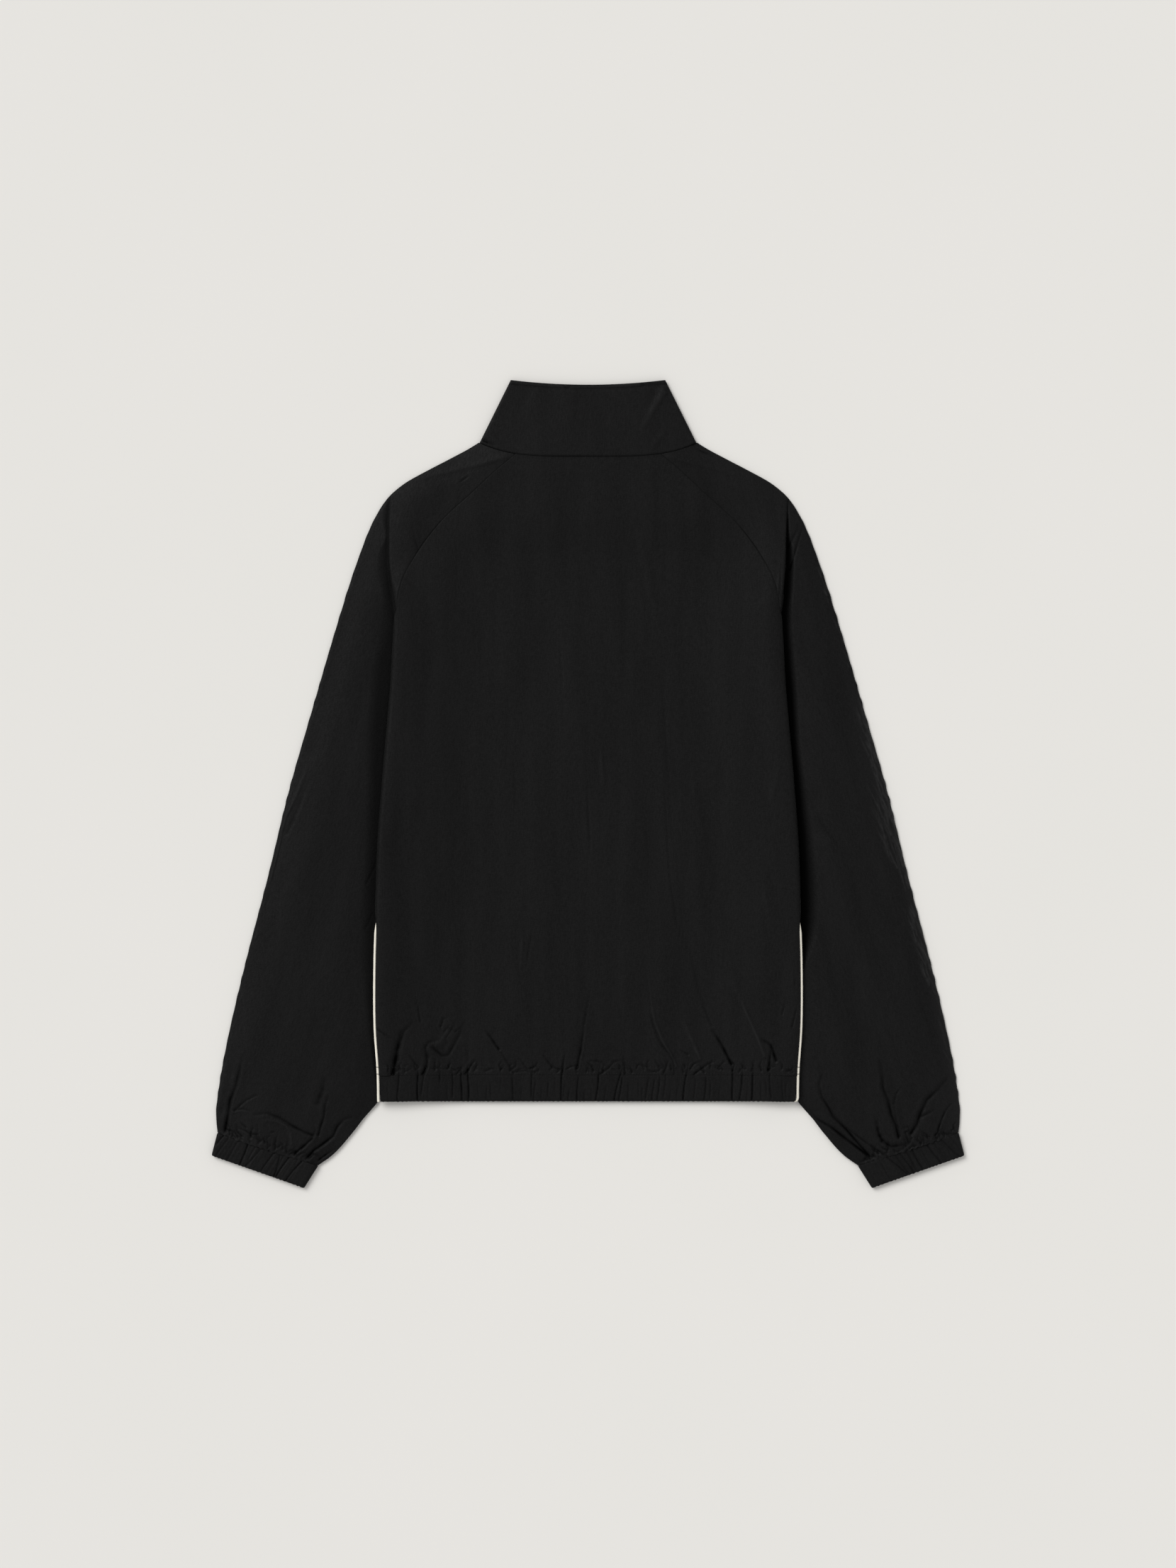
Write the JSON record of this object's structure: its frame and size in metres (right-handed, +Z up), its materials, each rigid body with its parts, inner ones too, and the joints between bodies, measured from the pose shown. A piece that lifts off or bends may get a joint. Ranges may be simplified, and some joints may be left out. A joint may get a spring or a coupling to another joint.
{
  "type": "windbreaker",
  "caption": "Crinkled nylon windbreaker laid flat with its back up: stand collar, raglan sleeves, elasticated hem and cuffs, pale piping in the side seams and a front zip.",
  "frame": {"origin": "on the surface it lies on, under the centre of its box", "axes": "+Z up out of the back, +Y from hem to collar, +X to the wearer's right"},
  "size_m": [0.795, 0.8538, 0.0129],
  "materials": {
    "nylon_shell": "crinkled matt nylon",
    "nylon_casing": "gathered matt nylon",
    "piping_cord": "cream piping",
    "zip_tape": "woven tape",
    "zip_chain": "moulded teeth",
    "zip_metal": "black enamel"
  },
  "bodies": {
    "jacket": {"back": "nylon_shell", "front_left": "nylon_shell", "front_right": "nylon_shell", "sleeve_back_left": "nylon_shell", "sleeve_back_right": "nylon_shell", "sleeve_front_left": "nylon_shell", "sleeve_front_right": "nylon_shell", "collar": "nylon_shell", "hem_back": "nylon_casing", "hem_front_left": "nylon_casing", "hem_front_right": "nylon_casing", "cuff_left": "nylon_casing", "cuff_right": "nylon_casing", "piping_left": "piping_cord", "piping_right": "piping_cord", "zip_tape_left": "zip_tape", "zip_tape_right": "zip_tape", "zip_chain": "zip_chain", "zip_slider": "zip_metal"},
    "pull_tab": {"zip_pull": "zip_metal"}
  },
  "joints": [
    {"name": "pull_tab_hinge", "type": "hinge", "parent": "jacket", "child": "pull_tab", "pos_m": [0, 0.3365, 0.0014], "axis": [1, 0, 0], "range_deg": [0, 175]}
  ]
}
